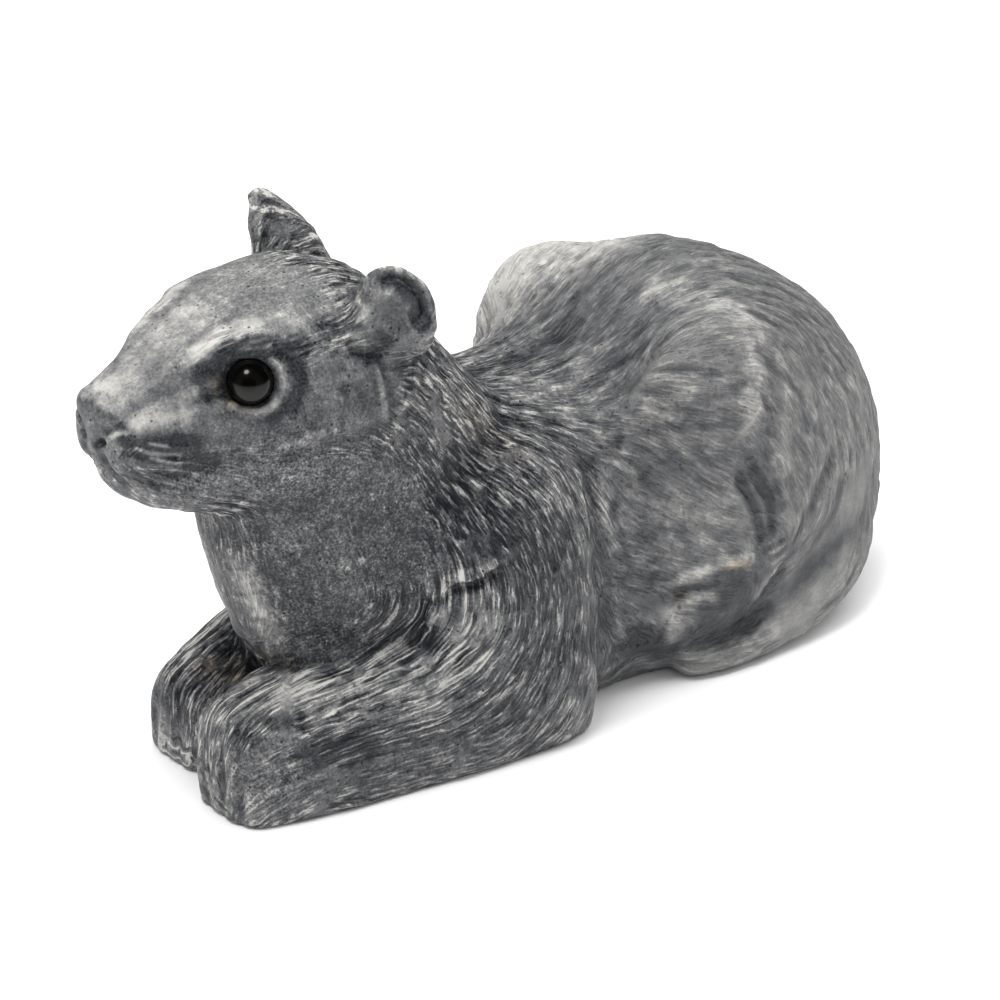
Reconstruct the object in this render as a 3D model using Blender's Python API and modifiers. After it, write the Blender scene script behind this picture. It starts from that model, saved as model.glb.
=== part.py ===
"""A reclining mountain lion, cast as one piece, with two glass eyes set in its head.

The figure faces -Y, its left side is +X, and it rests on its flat underside. The form is
given in the figure's own units, from clay-like masses that are fused into one skin, carved
and cut flat below.
"""

import math

import bmesh
import bpy
import numpy as np
from mathutils import Matrix, Vector

# Driving sizes, in metres
LENGTH = 0.125
EYE_DIAMETER = 0.0054
EYE_STANDS_PROUD = 0.0017
SOCKET_CLEARANCE = 0.0003

# The figure's own unit: it is this many units from nose to rump
SPAN = 93.1
UNIT = LENGTH / SPAN

# Fineness of the skin, and how many rounds of smoothing each stage of modelling gets
MASS_VOXEL = 0.72 * UNIT
SKIN_VOXEL = 0.46 * UNIT
TRUNK_ROUNDS = 34
NECK_ROUNDS = 12
SKIN_ROUNDS = 5
LION_TRIANGLES = 8300
RING_POINTS = 32
EYE_SEGMENTS = 20
EYE_RINGS = 12

# Torso sections: along, centre across, half width, top, bottom, squareness
TORSO = (
    (-24.0, 0.0, 8.0, 28.0, 0.0, 2.0),
    (-18.0, 0.0, 12.5, 31.6, -3.0, 2.2),
    (-10.0, 0.0, 14.0, 32.8, -4.5, 2.3),
    (-3.0, 0.0, 13.6, 32.2, -4.5, 2.4),
    (4.0, 0.0, 13.6, 33.8, -4.5, 2.5),
    (11.0, 0.0, 15.0, 38.0, -4.5, 2.5),
    (18.0, 0.0, 15.2, 38.8, -4.5, 2.5),
    (26.0, 0.0, 14.4, 35.6, -4.5, 2.5),
    (32.0, 0.0, 12.9, 31.7, -4.5, 2.4),
    (37.0, 0.0, 10.2, 27.0, -4.0, 2.3),
    (41.0, 0.0, 6.4, 21.0, -2.0, 2.2),
    (43.6, 0.0, 3.2, 14.0, 2.0, 2.0),
)

# Head sections, from nose to nape
HEAD = (
    (-49.5, 0.0, 2.0, 39.9, 36.6, 2.4),
    (-48.6, 0.0, 3.4, 40.8, 33.6, 2.4),
    (-46.2, 0.0, 4.7, 42.0, 30.4, 2.5),
    (-42.5, 0.0, 6.1, 43.5, 28.4, 2.4),
    (-38.5, 0.0, 8.3, 45.7, 27.5, 2.4),
    (-33.5, 0.0, 10.4, 47.4, 26.6, 2.3),
    (-27.0, 0.0, 11.4, 48.0, 26.0, 2.1),
    (-21.0, 0.0, 11.4, 45.0, 25.0, 2.1),
    (-15.0, 0.0, 10.8, 38.0, 24.0, 2.1),
    (-8.0, 0.0, 7.5, 31.0, 22.0, 2.0),
)

# Foreleg sections, from paw to elbow, for the left leg
FORELEG = (
    (-41.9, 5.4, 2.8, 6.8, -1.6, 2.4),
    (-40.8, 5.6, 4.7, 9.6, -2.4, 2.6),
    (-38.0, 6.0, 5.5, 11.2, -2.6, 2.8),
    (-34.0, 6.6, 6.0, 11.8, -2.6, 3.0),
    (-28.0, 7.5, 6.3, 12.0, -2.6, 3.0),
    (-22.0, 8.7, 6.3, 13.0, -2.6, 3.0),
    (-15.0, 10.0, 6.3, 15.0, -2.6, 2.8),
    (-9.0, 11.0, 5.8, 14.0, -2.4, 2.6),
    (-5.4, 11.2, 4.2, 10.0, -2.0, 2.3),
)

# The right one reaches less far, and its wrist is lower
RIGHT_FORELEG = (
    (-39.6, 5.2, 2.8, 5.4, -1.6, 2.4),
    (-38.4, 5.4, 4.6, 7.9, -2.4, 2.6),
    (-35.6, 5.8, 5.2, 9.2, -2.6, 2.8),
    (-31.6, 6.6, 5.6, 10.2, -2.6, 2.8),
    (-26.5, 7.8, 5.9, 11.6, -2.6, 2.8),
    (-21.0, 8.9, 6.2, 13.0, -2.6, 3.0),
    (-15.0, 10.0, 6.3, 15.0, -2.6, 2.8),
    (-9.0, 11.0, 5.8, 14.0, -2.4, 2.6),
    (-5.4, 11.2, 4.2, 10.0, -2.0, 2.3),
)

# Breast sections, from throat to ground: height, half width, front, back, squareness
BREAST = (
    (36.0, 10.2, -35.5, -18.0, 2.2),
    (29.0, 10.8, -37.3, -10.0, 2.4),
    (23.0, 10.6, -36.9, -4.0, 2.5),
    (17.0, 9.8, -35.2, -2.0, 2.7),
    (11.0, 8.8, -32.8, 0.0, 2.8),
    (5.0, 8.2, -29.6, 0.0, 2.8),
    (-1.0, 7.8, -26.5, 0.0, 2.6),
)

# Ears: middle of one's face, and the way that the face looks, in degrees
EAR_MIDDLE = (10.3, -23.2, 45.8)
LEFT_EAR_IS_FURTHER_FORWARD = 1.8
LEFT_EAR_IS_LOWER = 0.8
EAR_LOOKS_OUT = 36
EAR_LEANS_OUT = 10

# Eyes: where the left one meets the cheek, and the way it looks
EYE_PLACE = (7.4, -38.0, 41.3)
EYE_LOOKS = (0.76, -0.60, 0.25)

# Carving, as paths over the skin with a width and a depth. A negative depth is raised,
# and those of the second list are on both sides.
CARVING = (
    ("philtrum", ((0, -49.2, 36.6), (0, -48.6, 34.2)), 1.2, 0.35),
    ("nose groove", ((0, -49.4, 40.0), (0, -49.6, 38.0)), 0.8, 0.2),
    ("saddle", ((0, -8, 32.4), (0, 2, 33.6)), 5.0, 0.4),
    ("tail root", ((0.0, 41.0, 19.0), (1.4, 42.0, 14.0), (5.0, 41.0, 9.0)), 4.5, -0.5),
    (
        "tail edge",
        ((14.6, 25.0, 18.0), (15.6, 20.5, 12.5), (15.4, 18.0, 8.0), (15.6, 14.0, 4.6)),
        1.7,
        0.6,
    ),
    ("breast", ((0, -36, 24), (0, -33, 12)), 5.0, -0.5),
)
PAIRED_CARVING = (
    ("eye hollow", ((7.6, -38.8, 41.4),), 3.4, 0.8),
    ("inner eye corner", ((6.0, -41.6, 41.2), (5.4, -44.4, 40.4)), 2.0, 0.35),
    ("brow", ((4.6, -42.6, 43.8), (6.4, -40.2, 44.8), (8.0, -37.4, 45.4)), 2.8, -0.55),
    ("outer brow", ((8.6, -36.0, 45.4), (9.6, -33.0, 45.4)), 2.8, -0.25),
    ("cheekbone", ((6.6, -42.0, 38.0), (9.6, -37.0, 37.6)), 3.0, -0.25),
    ("nostril", ((1.6, -49.0, 37.6),), 1.3, 0.6),
    ("lip pad", ((2.6, -48.0, 35.8), (4.4, -46.0, 36.4)), 2.2, -0.3),
    (
        "mouth",
        ((0.2, -48.6, 33.8), (2.8, -47.4, 33.6), (5.0, -44.6, 33.8), (6.4, -41.6, 34.8)),
        1.4,
        0.35,
    ),
    ("jaw", ((6.4, -38.0, 30.0), (9.4, -31.0, 31.4)), 3.4, -0.3),
    ("ear cup", ((11.2, -25.2, 45.4),), 2.8, 1.1),
    ("throat hollow", ((7.8, -31.6, 25.0), (10.6, -26.0, 26.6)), 3.0, 0.3),
    ("toe cleft", ((3.6, -41.4, 9.0), (3.8, -42.2, 5.0), (3.8, -42.0, 1.0)), 0.9, 0.4),
    ("toe cleft", ((5.9, -41.6, 9.0), (6.0, -42.4, 5.0), (6.0, -42.2, 1.0)), 0.9, 0.4),
    ("toe cleft", ((8.1, -41.2, 8.6), (8.4, -41.8, 5.0), (8.4, -41.6, 1.0)), 0.9, 0.4),
    ("upper arm", ((10.0, -23.1, 13.0), (11.8, -22.2, 17.6), (13.6, -20.4, 19.2)), 3.0, 0.2),
    ("thigh fold", ((16.0, 12.0, 24.0), (16.2, 14.6, 18.0), (16.0, 16.0, 11.0)), 3.2, 0.7),
    ("over the hind foot", ((14.6, 3.6, 10.8), (15.8, 9.0, 12.0), (15.6, 14.6, 11.0)), 2.0, 0.4),
    ("under the hind foot", ((14.6, 4.6, 4.0), (16.0, 10.6, 3.9), (15.6, 16.4, 5.4)), 1.4, 0.5),
)


def clear_scene():
    for obj in list(bpy.data.objects):
        bpy.data.objects.remove(obj)


def superellipse(angle, power):
    """A point of the unit superellipse: 2 is a circle, and more is squarer."""
    c, s = math.cos(angle), math.sin(angle)
    return (
        math.copysign(abs(c) ** (2 / power), c),
        math.copysign(abs(s) ** (2 / power), s),
    )


def between(sections, steps):
    """The sections with more of them between, on a smooth curve through the given ones."""
    points = np.array(sections, float)
    last = len(points) - 1
    found = []
    for i in range(last):
        before, a = points[max(i - 1, 0)], points[i]
        b, after = points[i + 1], points[min(i + 2, last)]
        for k in range(steps):
            t = k / steps
            found.append(
                a
                + (b - before) * t / 2
                + (2 * before - 5 * a + 4 * b - after) * t**2 / 2
                + (3 * a - before - 3 * b + after) * t**3 / 2
            )
    return found + [points[last]]


def add_loft(bm, rings):
    """A closed skin through rings of points, in figure units."""
    loops = []
    for ring in rings:
        verts = [bm.verts.new(Vector(point) * UNIT) for point in ring]
        loops.append([bm.edges.new((a, b)) for a, b in zip(verts, verts[1:] + verts[:1])])
    for near, far in zip(loops, loops[1:]):
        bmesh.ops.bridge_loops(bm, edges=near + far)
    for end in (loops[0], loops[-1]):
        bmesh.ops.contextual_create(bm, geom=end)


def upright_rings(sections, side=1):
    """Upright rings along the body, from along, centre, half width, top, bottom, squareness."""
    rings = []
    for along, centre, half_width, top, bottom, power in between(sections, 3):
        middle, half_height = (top + bottom) / 2, (top - bottom) / 2
        ring = []
        for step in range(RING_POINTS):
            across, up = superellipse(2 * math.pi * step / RING_POINTS, power)
            ring.append((side * (centre + half_width * across), along, middle + half_height * up))
        rings.append(ring)
    return rings


def level_rings(sections):
    """Level rings down the breast, from height, half width, front, back, squareness."""
    rings = []
    for height, half_width, front, back, power in between(sections, 3):
        middle, half_depth = (front + back) / 2, (back - front) / 2
        ring = []
        for step in range(RING_POINTS):
            across, along = superellipse(2 * math.pi * step / RING_POINTS, power)
            ring.append((half_width * across, middle + half_depth * along, height))
        rings.append(ring)
    return rings


def add_egg(bm, centre, radii, turn=(0, 0, 0)):
    """An ellipsoid of clay: centre and radii in figure units, turn in degrees about X, Y, Z."""
    angles = [math.radians(a) for a in turn]
    rotation = Matrix.Rotation(angles[2], 4, "Z") @ Matrix.Rotation(angles[1], 4, "Y")
    rotation = rotation @ Matrix.Rotation(angles[0], 4, "X")
    place = Matrix.Translation(Vector(centre) * UNIT) @ rotation
    place = place @ Matrix.Diagonal(Vector(radii) * UNIT).to_4x4()
    bmesh.ops.create_uvsphere(bm, u_segments=28, v_segments=18, radius=1, matrix=place)


def add_limb(bm, stations):
    """A round limb through (x, y, z, radius) stations, as overlapping balls on a smooth line."""
    for x, y, z, radius in between(stations, 7):
        add_egg(bm, (x, y, z), (radius, radius, radius))


def mesh_object(name, bm):
    bmesh.ops.recalc_face_normals(bm, faces=bm.faces)
    mesh = bpy.data.meshes.new(name)
    bm.to_mesh(mesh)
    bm.free()
    obj = bpy.data.objects.new(name, mesh)
    bpy.context.scene.collection.objects.link(obj)
    return obj


def settle(obj):
    """The object's modifiers made part of its mesh."""
    graph = bpy.context.evaluated_depsgraph_get()
    mesh = bpy.data.meshes.new_from_object(obj.evaluated_get(graph))
    obj.modifiers.clear()
    obj.data = mesh


def fuse(obj, voxel):
    """One skin round everything that obj holds."""
    remesh = obj.modifiers.new("Fuse", "REMESH")
    remesh.mode = "VOXEL"
    remesh.voxel_size = voxel
    settle(obj)


def soften(obj, rounds, strength=0.5):
    smooth = obj.modifiers.new("Soften", "SMOOTH")
    smooth.factor = strength
    smooth.iterations = rounds
    settle(obj)


def skin_points(obj):
    """The object's vertices and their normals, in figure units."""
    count = len(obj.data.vertices)
    points, normals = np.empty(count * 3), np.empty(count * 3)
    obj.data.vertices.foreach_get("co", points)
    obj.data.vertices.foreach_get("normal", normals)
    return points.reshape(-1, 3) / UNIT, normals.reshape(-1, 3)


def distance_to_path(points, path):
    """How far each point is from a path, whose own points are first put on the skin."""
    on_skin = [points[np.argmin(((points - p) ** 2).sum(axis=1))] for p in path]
    if len(on_skin) == 1:
        return np.linalg.norm(points - on_skin[0], axis=1)
    nearest = np.full(len(points), np.inf)
    for a, b in zip(on_skin, on_skin[1:]):
        share = np.clip((points - a) @ (b - a) / ((b - a) @ (b - a)), 0, 1)
        away = np.linalg.norm(points - a - share[:, None] * (b - a), axis=1)
        nearest = np.minimum(nearest, away)
    return nearest


def carve(obj, strokes):
    """Presses each stroke's path into the skin, or raises it, with a soft edge."""
    for path, width, depth in strokes:
        points, normals = skin_points(obj)
        near = np.clip(1 - (distance_to_path(points, np.array(path, float)) / width) ** 2, 0, 1) ** 2
        moved = (points - normals * (depth * near)[:, None]) * UNIT
        obj.data.vertices.foreach_set("co", moved.ravel())
        obj.data.update()


def all_strokes():
    strokes = [stroke[1:] for stroke in CARVING]
    for _, path, width, depth in PAIRED_CARVING:
        for side in (1, -1):
            strokes.append(([(side * x, y, z) for x, y, z in path], width, depth))
    return strokes


def add_trunk(bm):
    add_loft(bm, upright_rings(TORSO))
    for side in (1, -1):
        # Shoulder and upper arm
        add_egg(bm, (side * 9.8, -12.5, 15.5), (6.9, 10.8, 15.5), (6, 0, 0))
        add_egg(bm, (side * 11.2, -12.0, 7.0), (5.4, 9.0, 9.5))
        # Haunch, hip and folded knee
        add_egg(bm, (side * 9.8, 14.6, 17.4), (7.0, 14.2, 19.0), (-4, 0, 0))
        add_egg(bm, (side * 10.6, 11.2, 27.2), (6.2, 9.2, 10.2), (0, side * 8, 0))
        add_egg(bm, (side * 11.6, 9.6, 8.8), (4.8, 7.6, 8.4))


def add_head_and_breast(bm):
    add_loft(bm, upright_rings(HEAD))
    add_loft(bm, level_rings(BREAST))
    # Hind feet, under the knees
    for side in (1, -1):
        add_egg(bm, (side * 12.6, 10.8, 7.0), (3.7, 5.6, 4.2))


def add_legs_and_tail(bm):
    add_loft(bm, upright_rings(FORELEG))
    add_loft(bm, upright_rings(RIGHT_FORELEG, side=-1))
    # Tail, from the rump round the left side to a tip by the hind foot
    add_limb(
        bm,
        [
            (2, 35, 12, 6.0),
            (6.5, 34.0, 8.5, 4.6),
            (10.4, 30.0, 6.2, 4.1),
            (12.8, 24.5, 4.2, 3.6),
            (13.6, 18.6, 2.8, 2.9),
            (13.8, 13.0, 2.0, 2.4),
            (13.2, 8.4, 1.8, 1.9),
        ],
    )
    # The right hind foot, which the tail doesn't reach
    add_egg(bm, (-13.2, 8.6, 1.6), (2.6, 6.6, 2.6))


def add_ears(bm):
    """Each ear is a thin upright dish, with a wedge behind it that runs down into the crown."""
    x, y, z = EAR_MIDDLE
    for side in (1, -1):
        left = (side + 1) / 2
        middle = Vector((side * x, y, z))
        middle -= left * Vector((0, LEFT_EAR_IS_FURTHER_FORWARD, LEFT_EAR_IS_LOWER))
        looks = side * -EAR_LOOKS_OUT
        back = Matrix.Rotation(math.radians(looks), 3, "Z") @ Vector((-side, 0, 0))
        add_egg(bm, middle, (1.8, 3.8, 4.9), (0, side * EAR_LEANS_OUT, looks))
        behind = middle + back * 2.4 + Vector((0, 0, -1.7))
        add_egg(bm, behind, (3.0, 3.2, 6.3), (0, side * (EAR_LEANS_OUT + 20), looks))


def with_more(obj, add):
    """The object with more clay on it, which isn't fused yet."""
    bm = bmesh.new()
    if obj:
        bm.from_mesh(obj.data)
        bpy.data.objects.remove(obj)
    add(bm)
    return mesh_object("lion", bm)


def eye_middle(side):
    """The middle of an eye's bead, set back from the skin by what it doesn't stand proud."""
    place = Vector((side * EYE_PLACE[0], *EYE_PLACE[1:])) * UNIT
    looks = Vector((side * EYE_LOOKS[0], *EYE_LOOKS[1:])).normalized()
    return place - looks * (EYE_DIAMETER / 2 - EYE_STANDS_PROUD)


def bead(name, middle, diameter):
    bm = bmesh.new()
    bmesh.ops.create_uvsphere(
        bm,
        u_segments=EYE_SEGMENTS,
        v_segments=EYE_RINGS,
        radius=diameter / 2,
        matrix=Matrix.Translation(middle),
    )
    return mesh_object(name, bm)


def cut(obj, cutter):
    boolean = obj.modifiers.new(cutter.name, "BOOLEAN")
    boolean.operation = "DIFFERENCE"
    boolean.object = cutter
    settle(obj)
    bpy.data.objects.remove(cutter)


def cut_underside(obj):
    """The flat that the figure rests on."""
    bm = bmesh.new()
    side = 2 * LENGTH
    bmesh.ops.create_cube(bm, size=side, matrix=Matrix.Translation((0, 0, -side / 2)))
    cut(obj, mesh_object("ground", bm))


def thin_out(obj, triangles):
    """Fewer triangles where the skin is plain."""
    decimate = obj.modifiers.new("Thin out", "DECIMATE")
    decimate.ratio = triangles / (2 * len(obj.data.polygons))
    decimate.use_collapse_triangulate = True
    settle(obj)


def build_lion():
    lion = with_more(None, add_trunk)
    fuse(lion, MASS_VOXEL)
    soften(lion, TRUNK_ROUNDS)
    lion = with_more(lion, add_head_and_breast)
    fuse(lion, MASS_VOXEL)
    soften(lion, NECK_ROUNDS)
    for add in (add_legs_and_tail, add_ears):
        lion = with_more(lion, add)
    fuse(lion, SKIN_VOXEL)
    soften(lion, SKIN_ROUNDS)
    carve(lion, all_strokes())
    thin_out(lion, LION_TRIANGLES)
    soften(lion, 1, 0.25)
    cut_underside(lion)
    for side in (1, -1):
        cut(lion, bead("socket", eye_middle(side), EYE_DIAMETER + 2 * SOCKET_CLEARANCE))
    return lion


def paint(obj, name, colour, roughness):
    material = bpy.data.materials.new(name)
    material.use_nodes = True
    shader = material.node_tree.nodes["Principled BSDF"]
    shader.inputs["Base Color"].default_value = (*colour, 1)
    shader.inputs["Roughness"].default_value = roughness
    material.diffuse_color = (*colour, 1)
    obj.data.materials.append(material)
    obj.data.shade_smooth()


def centre_on_base(objects):
    """Puts the origin under the middle of the figure's box, in every object's mesh."""
    points = skin_points(objects[0])[0] * UNIT
    lowest, highest = points.min(axis=0), points.max(axis=0)
    middle = (lowest + highest) / 2
    for obj in objects:
        obj.data.transform(Matrix.Translation((-middle[0], -middle[1], -lowest[2])))


def file_under(name, objects):
    collection = bpy.data.collections.new(name)
    bpy.context.scene.collection.children.link(collection)
    for obj in objects:
        bpy.context.scene.collection.objects.unlink(obj)
        collection.objects.link(obj)


def build():
    clear_scene()
    lion = build_lion()
    eyes = [
        bead("left_eye", eye_middle(1), EYE_DIAMETER),
        bead("right_eye", eye_middle(-1), EYE_DIAMETER),
    ]
    paint(lion, "cast stone", (0.12, 0.125, 0.14), 0.6)
    for eye in eyes:
        paint(eye, "eye glass", (0.012, 0.008, 0.006), 0.05)
    centre_on_base([lion, *eyes])
    file_under("Mountain lion", [lion, *eyes])


build()
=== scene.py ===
"""The finish of a reclining mountain lion in cast stone: its skin with the cut fur, its two
glass eyes, and the studio that it is shown in.

The figure faces -Y and its left side is +X. Places on it are given in the figure's own
units, of which it is 93.1 long, and lengths in metres.
"""

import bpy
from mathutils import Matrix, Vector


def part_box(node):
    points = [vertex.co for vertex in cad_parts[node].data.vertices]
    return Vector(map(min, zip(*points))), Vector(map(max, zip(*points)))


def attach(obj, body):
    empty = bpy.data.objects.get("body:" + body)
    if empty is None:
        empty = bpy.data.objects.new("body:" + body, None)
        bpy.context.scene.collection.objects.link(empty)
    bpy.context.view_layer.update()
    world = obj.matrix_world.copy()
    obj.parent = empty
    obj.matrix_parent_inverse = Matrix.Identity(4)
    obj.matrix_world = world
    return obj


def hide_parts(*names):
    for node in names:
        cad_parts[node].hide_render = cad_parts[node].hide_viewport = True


bl_info = {
    "name": "Cast mountain lion",
    "version": (1, 0, 0),
    "blender": (4, 5, 0),
    "location": "3D View > Sidebar > Lion",
    "description": "Carves and paints a reclining mountain lion with glass eyes",
    "category": "Object",
}

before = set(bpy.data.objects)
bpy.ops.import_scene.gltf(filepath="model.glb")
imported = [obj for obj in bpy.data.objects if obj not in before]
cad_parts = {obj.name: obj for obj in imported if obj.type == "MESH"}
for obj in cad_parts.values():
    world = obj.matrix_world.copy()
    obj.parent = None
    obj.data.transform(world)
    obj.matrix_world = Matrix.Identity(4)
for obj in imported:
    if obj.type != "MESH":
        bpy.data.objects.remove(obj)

import math

import bmesh
import bpy
import numpy as np
from bpy.props import FloatProperty, FloatVectorProperty, IntProperty, PointerProperty
from mathutils import Matrix, Vector, noise
from mathutils.kdtree import KDTree

FIGURE_SPAN = 93.1
NOSE_IN_FRONT = 49.38
LOW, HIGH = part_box("lion")
UNIT = (HIGH.y - LOW.y) / FIGURE_SPAN
ORIGIN = Vector(((LOW.x + HIGH.x) / 2, LOW.y + NOSE_IN_FRONT * UNIT, LOW.z))
EYE_LOOKS = (0.76, -0.60, 0.25)
EYE_STANDS_PROUD = 0.0017
EYE_ROOM = 0.00005
# The stone that fills a socket, in eye radii: its half-axes, and how far back it lies
SOCKET_FILL, SOCKET_FILL_BACK = (1.3, 1.3, 0.9), 0.95
SIDES = (1, -1)

# Paths on the left side that more than one table uses
JAW_TO_THROAT = ((9.4, -35, 32), (10.6, -26, 29), (10.4, -25, 22))
PAW_TIP = ((8.4, -41.8, 4.4), (11.6, -38, 4.4))
ARM_LEDGE = (
    (10.4, -23.6, 13.4), (11.2, -23.3, 15.5), (11.3, -22.7, 16.9), (12.4, -22.2, 17.3),
    (13.2, -21.2, 18.9), (14.3, -19.5, 19.1), (15.2, -18, 20.3),
)

# Where the skin is made finer: middle and reach, on both sides
FINE_PLACES = (
    ((3, -46, 36), 7.5),
    ((7, -38, 41.5), 6.5),
    ((11, -25, 46), 6.5),
)

# Cuts along a path: points, width, depth. A negative depth is raised.
MIDDLE_CUTS = (
    (((0, -49.3, 38.8), (0, -49.4, 36.8)), 1.1, -0.18),
    (((1.2, -49.1, 36.9), (1.6, -48.9, 37.1)), 0.50, 0.60),
    (((-1.2, -49.1, 36.9), (-1.6, -48.9, 37.1)), 0.50, 0.22),
    (((0, -49, 35.2), (0, -48.9, 34.3)), 1.8, -0.50),
    (((0, -49.2, 35.8), (0, -49.2, 34.6)), 0.5, 0.15),
    (((0, -47.6, 32.2), (0, -47, 31.6)), 2.2, -0.20),
)
FACE_CUTS = (
    # The fold behind the nostril, the nose leather's rear edge, and the mouth's front
    (((1.9, -49, 37.5), (3.2, -48.4, 38.2)), 0.40, -0.10),
    (((1.4, -48.7, 40), (2.7, -48.3, 39.7)), 1.3, -0.34),
    (((2, -48.9, 38.2), (3.2, -48.2, 38.9)), 0.55, 0.28),
    (((0.4, -49, 35.2), (1.4, -48.9, 35.6), (1.5, -48.7, 34.6)), 0.8, 0.30),
    (((0.5, -48.6, 34.3), (1.8, -48.4, 33.9)), 0.6, 0.28),
    # Ridges beside the nose, and the hollow between them
    (((2.2, -47.6, 40.6), (3, -44.9, 41.7), (3.9, -41.6, 43.2), (5, -39.6, 44.3)),
     1.5, -0.10),
    (((3.6, -46.8, 38.9), (4.6, -44.3, 39.7), (5.4, -41.9, 40.7)), 1.8, -0.20),
    (((3.2, -46.2, 40.6), (4.4, -42.8, 41.9), (5.2, -40.8, 43)), 1.1, 0.10),
    # Whisker lines and chin strokes
    (((3.6, -48, 36.4), (5, -46, 35.9), (5.5, -44.2, 35.6)), 0.35, 0.16),
    (((4.6, -46.7, 37.2), (5.4, -44.8, 36.6), (5.8, -43.4, 36.5)), 0.35, -0.14),
    (((4.4, -46.9, 36.4), (5.4, -44.6, 35.4), (6, -42.2, 34.9)), 0.35, -0.12),
    (((3, -48, 35.2), (4.6, -46, 34.2), (5.6, -43.2, 33.6)), 0.4, 0.16),
    (((2.8, -47.8, 34), (4.4, -45.6, 33), (5.5, -42.8, 32.4)), 0.4, 0.16),
    (((2.4, -47.6, 33), (4.2, -45, 31.9), (5.2, -42.6, 31.2)), 0.4, 0.14),
    # Brow, the hollows round the eye, and the crusted corner behind it
    (((4.6, -40.6, 43.6), (5.3, -38.8, 44.8), (6, -36.2, 45.5), (6.9, -33.6, 45.6)),
     2.6, -0.20),
    (((5.6, -40.4, 42.9), (6.8, -38.2, 44.2), (8.2, -35.6, 44), (8.6, -34.8, 43.6)),
     1.3, 0.26),
    (((5.6, -41.2, 41.6), (5.9, -41, 40.2)), 0.8, 0.20),
    (((9.8, -34, 42.2), (10, -34.2, 40.4), (9.8, -35.2, 38.8)), 0.8, 0.20),
    # Cheek's edge, and the raised edges under the ear
    (((9.4, -36.4, 35.6), (10.6, -32.4, 36.2), (11.2, -28.6, 36.4), (11.3, -26.6, 36.9)),
     0.9, -0.10),
    (((9.5, -35.8, 34.4), (10.6, -31.8, 35), (11.2, -27.8, 35.2)), 1.4, 0.12),
    (((10.7, -27.2, 41.6), (10.9, -26.9, 38.6), (11.3, -26.7, 36)), 0.5, -0.16),
    (((10.7, -26.5, 41.2), (11, -26.2, 38.6), (11.3, -26.1, 36.2)), 0.5, 0.20),
    (((10.4, -22.4, 40.3), (11.1, -23.4, 38), (11.3, -25.4, 36.4)), 0.5, -0.20),
    (((9.8, -30.4, 41.6), (10, -30.4, 39.8)), 0.5, 0.18),
    (((10, -29.4, 40.8), (10.4, -28.8, 38.6)), 0.5, 0.20),
)
EAR_CUTS = (
    # The cup, its steep wall under the rim, the rim, and the hollows at the ear's foot
    (((11, -26.2, 45.8),), 3.4, 0.40),
    (((11, -26.7, 48.5), (11.5, -25.9, 48.8), (12, -25.2, 48.5), (12.5, -24.6, 47.6),
      (12.7, -24.2, 46.4), (12.7, -24, 45)), 1.3, 0.55),
    (((11.2, -26.4, 48.9), (11.9, -25.4, 48.9), (12.5, -24.5, 48.1), (12.8, -24, 46.8),
      (12.8, -23.8, 45.2)), 0.6, 0.40),
    (((8.9, -27.4, 48), (9.9, -26.8, 49.1), (10.6, -26, 49.5), (11.4, -25.2, 49.5),
      (12, -24.5, 49.1), (12.5, -23.9, 48.4), (12.9, -23.6, 47.1), (12.9, -23.3, 45.6),
      (12.7, -23.1, 43.8)), 0.6, -0.05),
    (((11.1, -26.1, 43.3), (10.6, -26.9, 43.9)), 1.1, 0.25),
    (((9.6, -29, 43.2), (10.3, -27.8, 42.2), (10.8, -26.4, 42.1)), 0.7, 0.40),
    (((12.5, -23, 43.8), (12.2, -23.1, 42.2)), 1.6, -0.45),
)
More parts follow.
